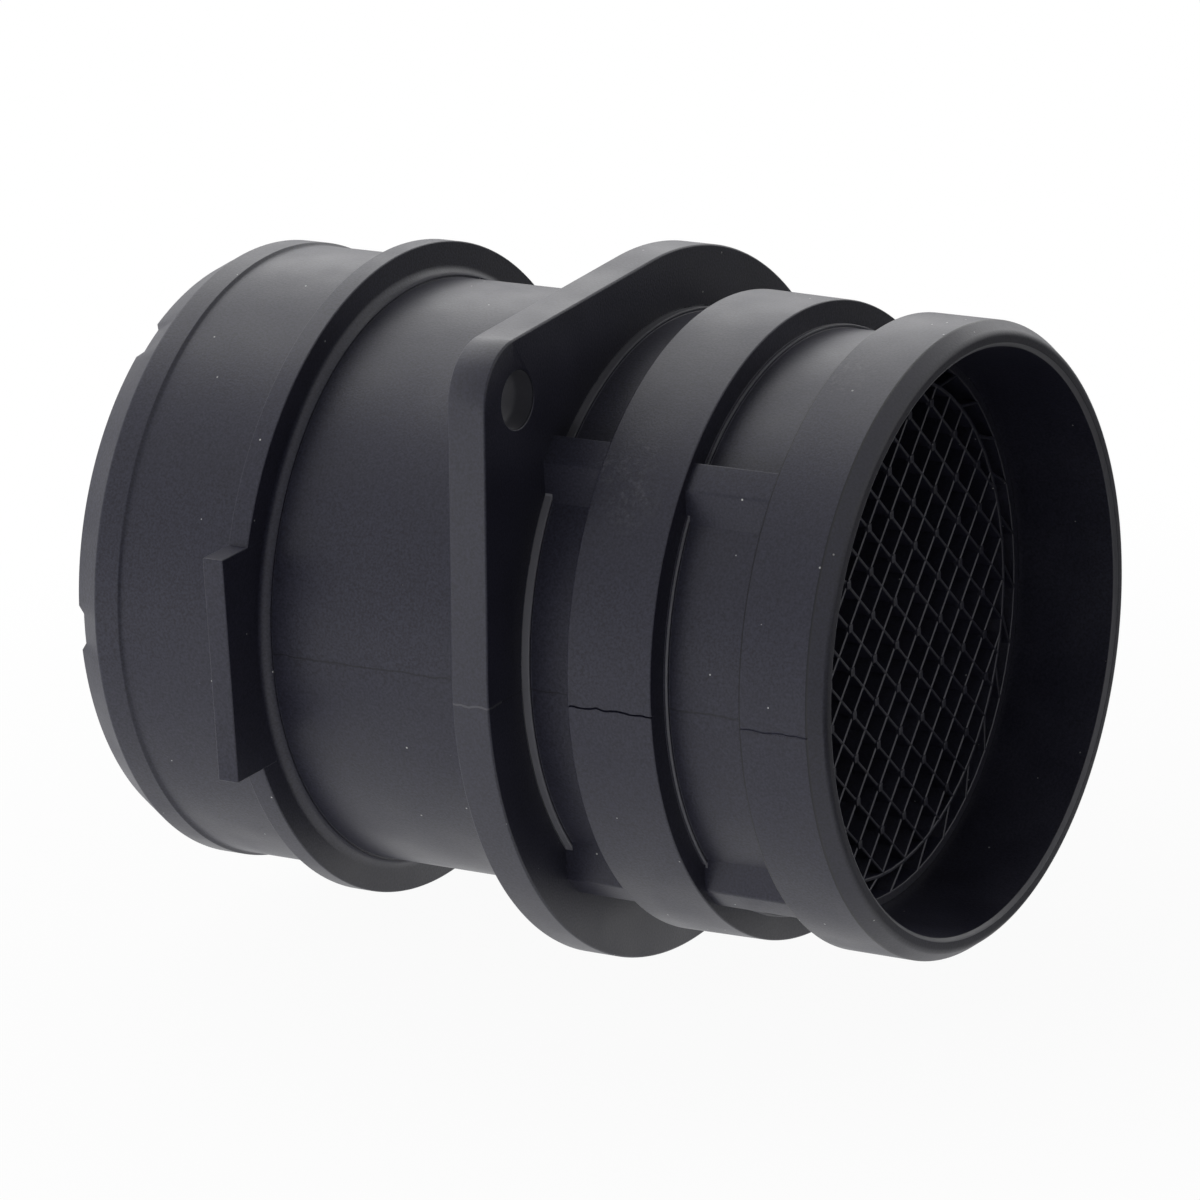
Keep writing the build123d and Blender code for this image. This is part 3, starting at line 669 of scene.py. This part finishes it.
class AIRFLOW_OT_flange(bpy.types.Operator):
    """Build the two-eared mounting flange"""

    bl_idname = "airflow.flange"
    bl_label = "Mounting flange"

    def execute(self, context):
        duct = context.scene.airflow_duct
        sizes = context.scene.airflow_flange
        holes = ear_centres(sizes)
        discs = [(Vector(), sizes.radius)] + [(centre, sizes.ear_radius) for centre in holes]
        bm = bmesh.new()
        # The outline is a belt drawn tight round the plate's disc and the two ears.
        bmesh.ops.create_circle(bm, segments=FLANGE_FACETS, radius=1, matrix=FACING_X)
        for vert in bm.verts:
            outward = vert.co.copy()
            centre, radius = max(discs, key=lambda disc: disc[0].dot(outward) + disc[1])
            vert.co = centre + outward * radius
        bmesh.ops.create_circle(
            bm, segments=DUCT_FACETS, radius=duct.middle_radius - sizes.bite, matrix=FACING_X)
        for centre in holes:
            bmesh.ops.create_circle(
                bm, segments=HOLE_FACETS, radius=sizes.hole_radius,
                matrix=Matrix.Translation(centre) @ FACING_X)
        bmesh.ops.triangle_fill(bm, use_beauty=True, edges=bm.edges[:])
        draw_out(bm, -duct.flange_thickness)
        bevel_edges(bm, sharp_edges(bm, 60), sizes.edge_round)
        finish_piece(bm, "flange_plate", "moulded nylon")
        return {"FINISHED"}


def add_rib(whole, duct, sizes, start, end, radius, across, up):
    """Adds one upright rib: a disc cut down to the rib's section, then drawn out along X."""
    middle = sizes.rib_reach - sizes.rib_thickness / 2
    root = duct.bore_radius + sizes.rib_root
    radial = Vector((0, across * middle, up * sqrt(root ** 2 - middle ** 2))).normalized()
    cuts = [
        ((0, across * sizes.rib_reach, 0), (0, across, 0)),
        ((0, across * (sizes.rib_reach - sizes.rib_thickness), 0), (0, -across, 0)),
        (radial * root, -radial),
    ]
    bm = bmesh.new()
    bmesh.ops.create_circle(bm, cap_ends=True, segments=RIB_FACETS, radius=radius, matrix=FACING_X)
    for point, normal in cuts:
        bisect(bm, point, normal, clear_outer=True)
    draw_out(bm, end - start)
    bmesh.ops.translate(bm, verts=bm.verts, vec=(start, 0, 0))
    along = [e for e in sharp_edges(bm, 25) if abs(e.verts[0].co.x - e.verts[1].co.x) > mm(1)]
    bevel_edges(bm, along, sizes.rib_round)
    join(whole, bm)


class AIRFLOW_OT_corner_ribs(bpy.types.Operator):
    """Build the corner ribs that cross both gaps"""

    bl_idname = "airflow.corner_ribs"
    bl_label = "Corner ribs"

    def execute(self, context):
        duct = context.scene.airflow_duct
        sizes = context.scene.airflow_flange
        x = stations(duct)
        spans = [
            (0, x["collar_back"], sizes.rear_rib_radius),
            (x["collar_front"], x["band_back"], sizes.front_rib_radius)]
        whole = bmesh.new()
        for start, end, radius in spans:
            for across in (-1, 1):
                for up in (-1, 1):
                    add_rib(whole, duct, sizes, start, end, radius, across, up)
        finish_piece(whole, "corner_ribs", "moulded nylon")
        return {"FINISHED"}


class AIRFLOW_OT_lug_and_seat(bpy.types.Operator):
    """Build the index lug and the module's seat"""

    bl_idname = "airflow.lug_and_seat"
    bl_label = "Lug and module seat"

    def execute(self, context):
        duct = context.scene.airflow_duct
        sizes = context.scene.airflow_flange
        x = stations(duct)
        bm = bmesh.new()
        proud = mm(0.03)
        block(bm, (x["stop_back"] - proud, -sizes.lug_reach, -sizes.lug_width / 2),
              (x["stop_front"] + proud, -duct.bore_radius - sizes.lug_root, sizes.lug_width / 2))
        bevel_edges(bm, bm.edges[:], duct.edge_round)
        finish_piece(bm, "index_lug", "moulded nylon")

        bm = bmesh.new()
        low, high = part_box("sensor_body")
        middle = (low.x + high.x) / 2
        half_length, half_width = sizes.seat_length / 2, sizes.seat_width / 2
        block(bm, (middle - half_length, sizes.seat_height / 4, -half_width),
              (middle + half_length, sizes.seat_height, half_width))
        upright = [e for e in bm.edges if abs(e.verts[0].co.y - e.verts[1].co.y) > mm(1)]
        bevel_edges(bm, upright, sizes.seat_corner, 6)
        # It is sliced at each millimetre between its corners, so that its foot can follow the tube.
        last = int(half_width / mm(1)) - 1
        for step in range(-last, last + 1):
            bisect(bm, (0, 0, mm(step)), (0, 0, 1))
        bottom = [face for face in bm.faces if face.normal.y < -0.5]
        bmesh.ops.delete(bm, geom=bottom, context="FACES_ONLY")
        wall = duct.middle_radius - sizes.seat_bite
        for vert in bm.verts:
            if vert.co.y < sizes.seat_height / 2:
                vert.co.y = sqrt(wall ** 2 - vert.co.z ** 2)
        bmesh.ops.recalc_face_normals(bm, faces=bm.faces)
        bevel_edges(bm, sharp_edges(bm, 60), duct.edge_round)
        finish_piece(bm, "module_seat", "moulded nylon")
        return {"FINISHED"}


class AIRFLOW_OT_inlet_grid(bpy.types.Operator):
    """Build the inlet grid's bars, pads, border, spokes and frame"""

    bl_idname = "airflow.inlet_grid"
    bl_label = "Inlet grid"

    def execute(self, context):
        sizes = context.scene.airflow_grid
        low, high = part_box("inlet_grid")
        front = high.x
        back = front - sizes.bar_depth
        half = sizes.bar_width / 2
        bm = bmesh.new()
        count = int(sizes.border_radius / sizes.pitch)
        for turn in (pi / 4, -pi / 4):
            for step in range(-count, count + 1):
                off = step * sizes.pitch
                reach = sqrt((sizes.border_radius - half) ** 2 - off ** 2)
                verts = block(bm, (back, -reach, off - half), (front, reach, off + half))
                roll(bm, verts, turn)
        inner = sizes.border_radius - half
        for index in range(sizes.spokes):
            start = sizes.phase + index * 2 * pi / sizes.spokes
            end = start - sizes.slant
            foot = Vector((0, cos(start), sin(start))) * inner
            run = Vector((0, cos(end), sin(end))) * (sizes.frame_inner + half) - foot
            verts = block(bm, (back, 0, -half), (front, run.length, half))
            roll(bm, verts, atan2(run.z, run.y))
            bmesh.ops.translate(bm, verts=verts, vec=foot)
        long_front = [
            e for e in bm.edges
            if e.calc_length() > mm(1) and min(v.co.x for v in e.verts) > front - mm(0.1)]
        bevel_edges(bm, long_front, sizes.bar_round)
        rings = [(inner - half, inner + half, back, sizes.phase),
                 (sizes.frame_inner, high.y, low.x, sizes.phase - sizes.slant)]
        for inside, outside, behind, phase in rings:
            ring = bmesh.new()
            turned(ring, [(behind, inside, 0), (front, inside, sizes.ring_round), (front, outside, 0),
                          (behind, outside, 0)], sizes.spokes * 2)
            roll(ring, ring.verts, phase - pi / 2)
            join(bm, ring)
        finish_piece(bm, "grid_bars", "grid nylon", ["inlet_grid"])

        pads = bmesh.new()
        size = sizes.pad_size / 2
        limit = sizes.border_radius - sizes.pad_margin
        for column in range(-2 * count, 2 * count + 1):
            for row in range(-2 * count, 2 * count + 1):
                y = (column + row) * sizes.pitch / sqrt(2)
                z = (column - row) * sizes.pitch / sqrt(2)
                if (column + row) % 2 and sqrt(y * y + z * z) < limit:
                    block(pads, (front - sizes.pad_root, y - size, z - size),
                          (front + sizes.pad_height, y + size, z + size))
        bevel_edges(pads, pads.edges[:], sizes.pad_round, 2)
        finish_piece(pads, "grid_pads", "grid nylon")
        return {"FINISHED"}


def dressed_copy(node_name, finish, soft):
    """Replaces a node by a merged copy of it, with its edges rounded by the given width."""
    bm = bmesh.new()
    bm.from_mesh(frame["nodes"][node_name].data)
    bmesh.ops.remove_doubles(bm, verts=bm.verts, dist=mm(0.004))
    bmesh.ops.dissolve_limit(bm, angle_limit=radians(1), verts=bm.verts, edges=bm.edges)
    bevel_edges(bm, sharp_edges(bm, 35), soft, 2)
    finish_piece(bm, "dressed_" + node_name, finish, [node_name])


class AIRFLOW_OT_dress_module(bpy.types.Operator):
    """Give the sensor module's pieces their rounded edges and finishes"""

    bl_idname = "airflow.dress_module"
    bl_label = "Sensor module"

    def execute(self, context):
        finishes = {
            "module_plastic": ("module polyester", mm(0.2)), "seal_rubber": ("seal rubber", mm(0.25)),
            "screw_steel": ("zinc-plated steel", mm(0.12)), "terminal_tin": ("tinned brass", mm(0.08)),
            "plate_aluminium": ("rolled aluminium", mm(0.1)), "board_laminate": ("board laminate", mm(0.04)),
            "chip_black": ("chip epoxy", mm(0.08)), "capacitor_ceramic": ("capacitor ceramic", mm(0.06)),
            "probe_glass": ("probe glass", mm(0.05)), "clear_gel": ("clear gel", 0),
            "sensing_silicon": ("sensing silicon", 0)}
        for part in frame["record"]["subparts"]:
            name, slot = part["node"], part["material_slot"]
            if slot not in finishes:
                continue
            finish, soft = finishes[slot]
            if soft:
                dressed_copy(name, finish, soft)
                continue
            node = frame["nodes"][name]
            node.data.materials.clear()
            node.data.materials.append(bpy.data.materials[finish])
        return {"FINISHED"}


class AIRFLOW_OT_finishes(bpy.types.Operator):
    """Make the materials"""

    bl_idname = "airflow.finishes"
    bl_label = "Finishes"

    def execute(self, context):
        colours = context.scene.airflow_colours
        moulded_nylon("moulded nylon", colours, context.scene.airflow_duct, context.scene.airflow_flange)
        # The grid comes from a polished mould, and its bars shine more than the housing.
        polished = moulded_nylon("grid nylon", colours)
        polished.inputs["Specular IOR Level"].default_value = 0.7
        # Moulded polyester is a shade browner and shinier than the nylon, with a spark-eroded grain.
        grained("module polyester", "1a1a1c", "26262a", mm(0.4), (0.34, 0.46), 0.3)
        # Nitrile rubber is a dull even black with a slight bloom.
        grained("seal rubber", "161616", "232322", mm(0.8), (0.6, 0.75), 0.2)
        # Zinc plate with a clear passivation is a pale grey metal with a faint warm mottle.
        grained("zinc-plated steel", "a9a69b", "c9c8c3", mm(0.7), (0.28, 0.42), 0.15, 1.0)
        # Tin over brass is a soft white metal with fine drawn lines along the pin.
        grained("tinned brass", "bdbab2", "dad8d2", mm(0.3), (0.22, 0.34), 0.2, 1.0, (0.15, 1, 1))
        # Rolled aluminium is a bright grey metal with the mill's lines across the plate.
        grained("rolled aluminium", "b4b6b8", "cfd1d3", mm(0.3), (0.28, 0.4), 0.25, 1.0, (1, 1, 0.08))
        # Moulding epoxy is a dead black with a fine sandy skin.
        grained("chip epoxy", "121213", "202022", mm(0.15), (0.5, 0.65), 0.35)
        # Fired ceramic is a matt tan with darker grains.
        grained("capacitor ceramic", "8f7350", "b8996f", mm(0.2), (0.35, 0.5), 0.15)
        # Sensing silicon is a polished blue-grey mirror with faint patches of oxide.
        grained("sensing silicon", "3c4260", "5a5f78", mm(0.5), (0.06, 0.14), 0.0, 0.6)
        # Probe glass is a glossy brown bead, darker where it is thick.
        grained("probe glass", "4a2413", "6d3a20", mm(0.5), (0.08, 0.16), 0.05)
        # Silicone gel is clear and wet, with a slight ripple.
        gel = grained("clear gel", "e6e9ec", "f4f5f6", mm(3.0), (0.04, 0.1), 0.1)
        gel.inputs["Transmission Weight"].default_value = 1.0
        gel.inputs["IOR"].default_value = 1.41
        laminate("board laminate")
        return {"FINISHED"}


def studio_floor(settings):
    """Painted board, to the eye a flat and very pale grey, with a black card lying out of view."""
    tree, shader, place = new_material("studio floor")
    shader.inputs["Roughness"].default_value = 0.9
    at = add(tree, "SeparateXYZ", {"Vector": place}).outputs
    path = add(tree, "LightPath").outputs
    # The card lies on the inlet's side, and keeps the faces towards it dark.
    card = add(tree, "MapRange", {
        "Value": at["X"], "From Min": 0.05, "From Max": 0.14, "To Min": 0.95, "To Max": 0.05})
    bounce = add(tree, "Mix", {
        "Factor": path["Is Camera Ray"], "A": card, "B": (*settings.floor, 1)}, data_type="RGBA")
    tree.links.new(bounce.outputs["Result"], shader.inputs["Base Color"])
    away = add(tree, "VectorMath", {0: place}, operation="LENGTH").outputs["Value"]
    far = add(tree, "MapRange", {"Value": away, "From Min": 0.06, "From Max": 0.2, "To Min": 0.95})
    seen = add(tree, "Math", {0: far, 1: path["Is Camera Ray"]}, operation="MULTIPLY")
    # Its mirror image is dark where the card lies, and darker in front than behind.
    diagonal = add(tree, "Math", {0: at["X"], 1: at["Y"]}, operation="ADD")
    dim = add(tree, "MapRange", {
        "Value": diagonal, "From Min": 0.03, "From Max": 0.07, "To Min": 1.0, "To Max": 0.05})
    front = add(tree, "MapRange", {"Value": at["Y"], "From Min": -0.25, "From Max": 0.05, "To Min": 0.65})
    mirrored = add(tree, "Math", {
        0: path["Is Glossy Ray"], 1: path["Is Transmission Ray"]}, operation="MAXIMUM")
    for share in (dim, front):
        mirrored = add(tree, "Math", {0: mirrored, 1: share}, operation="MULTIPLY")
    share = add(tree, "Math", {0: seen, 1: mirrored}, operation="MAXIMUM")
    glow = add(tree, "Emission", {"Color": (1, 1, 1, 1), "Strength": 1.0})
    mix = add(tree, "MixShader", {0: share, 1: shader, 2: glow})
    tree.links.new(mix.outputs[0], tree.nodes["Material Output"].inputs["Surface"])


def studio_light(world):
    """White walls that give little light, but are seen and mirrored bright, in front less so."""
    world.use_nodes = True
    tree = world.node_tree
    path = add(tree, "LightPath").outputs
    seen = path["Is Camera Ray"]
    for ray in ("Is Transmission Ray", "Is Glossy Ray"):
        seen = add(tree, "Math", {0: seen, 1: path[ray]}, operation="MAXIMUM")
    place = add(tree, "TexCoord").outputs["Generated"]
    way = add(tree, "SeparateXYZ", {"Vector": place}).outputs
    front = add(tree, "MapRange", {"Value": way["Y"], "From Min": -0.8, "From Max": 0.3, "To Min": 0.65})
    front = add(tree, "Math", {0: front, 1: path["Is Camera Ray"]}, operation="MAXIMUM")
    seen = add(tree, "Math", {0: seen, 1: front}, operation="MULTIPLY")
    strength = add(tree, "MapRange", {"Value": seen, "To Min": 0.02})
    background = tree.nodes["Background"]
    background.inputs["Color"].default_value = (1, 1, 1, 1)
    tree.links.new(strength.outputs[0], background.inputs["Strength"])


def lamp(name, size, power, place, target):
    """A rectangular lamp that looks at the target."""
    light = bpy.data.lights.new(name, "AREA")
    light.shape = "RECTANGLE"
    light.size, light.size_y = size
    light.energy = power
    thing = put(name, light)
    thing.location = place
    thing.rotation_euler = (Vector(target) - Vector(place)).to_track_quat("-Z", "Y").to_euler()
    return thing


class AIRFLOW_OT_stage(bpy.types.Operator):
    """Lay the floor, hang the lamps and place the camera"""

    bl_idname = "airflow.stage"
    bl_label = "Stage"

    def execute(self, context):
        scene = context.scene
        settings = scene.airflow_stage
        scene.view_settings.view_transform = "Standard"
        low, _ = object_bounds()
        bm = bmesh.new()
        bmesh.ops.create_circle(bm, cap_ends=True, segments=FLOOR_FACETS, radius=4)
        bmesh.ops.translate(bm, verts=bm.verts, vec=(0, 0, low[2]))
        floor = put("floor", free_into_mesh(bm, "floor"))
        studio_floor(settings)
        floor.data.materials.append(bpy.data.materials["studio floor"])
        floor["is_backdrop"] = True
        scene.world = bpy.data.worlds.new("studio")
        studio_light(scene.world)

        lamp("top lamp", (0.9, 1.0), 3, (-0.5, 0.35, 0.78), (0, 0, 0))
        lamp("back lamp", (1.4, 0.5), 2.1, (-0.15, 1.0, 0.42), (0, 0, 0))
        lamp("left lamp", (1.2, 1.0), 5, (-0.85, -0.4, 0.3), (-0.02, 0, 0)).visible_glossy = False
        reflector = lamp("low reflector", (0.6, 0.12), 0.9, (-0.1, -0.4, -0.035), (0, 0, -0.03))
        reflector.visible_glossy = False
        reflector.visible_camera = False

        camera = bpy.data.cameras.new("camera")
        camera.sensor_width = 36
        camera.lens = settings.lens
        thing = put("camera", camera)
        look = Vector(settings.camera_look).normalized()
        right = Vector(settings.camera_right)
        right = (right - look * right.dot(look)).normalized()
        turn = Matrix((right, right.cross(look), -look)).transposed().to_4x4()
        thing.matrix_world = Matrix.Translation(settings.camera_place) @ turn
        scene.camera = thing
        return {"FINISHED"}


OPERATORS = [
    AIRFLOW_OT_finishes, AIRFLOW_OT_duct_tube, AIRFLOW_OT_flange, AIRFLOW_OT_corner_ribs,
    AIRFLOW_OT_lug_and_seat, AIRFLOW_OT_inlet_grid, AIRFLOW_OT_dress_module, AIRFLOW_OT_stage,
]
GROUPS = {
    "airflow_duct": DuctSizes, "airflow_flange": FlangeSizes, "airflow_grid": GridSizes,
    "airflow_colours": FinishColours, "airflow_stage": StageSettings,
}


class AIRFLOW_PT_panel(bpy.types.Panel):
    """Lists the sensor's pieces in the sidebar"""

    bl_label = "Mass airflow sensor"
    bl_idname = "AIRFLOW_PT_panel"
    bl_space_type = "VIEW_3D"
    bl_region_type = "UI"
    bl_category = "Airflow"

    def draw(self, context):
        for operator in OPERATORS:
            self.layout.operator(operator.bl_idname)


def register():
    for name, group in GROUPS.items():
        bpy.utils.register_class(group)
        setattr(bpy.types.Scene, name, bpy.props.PointerProperty(type=group))
    for kind in (*OPERATORS, AIRFLOW_PT_panel):
        bpy.utils.register_class(kind)


def unregister():
    for kind in (AIRFLOW_PT_panel, *reversed(OPERATORS)):
        bpy.utils.unregister_class(kind)
    for name, group in reversed(GROUPS.items()):
        delattr(bpy.types.Scene, name)
        bpy.utils.unregister_class(group)


def main():
    register()
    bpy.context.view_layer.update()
    bpy.ops.airflow.finishes()
    bpy.ops.airflow.duct_tube()
    bpy.ops.airflow.flange()
    bpy.ops.airflow.corner_ribs()
    bpy.ops.airflow.lug_and_seat()
    bpy.ops.airflow.inlet_grid()
    bpy.ops.airflow.dress_module()
    bpy.ops.airflow.stage()


if __name__ == "__main__":
    main()
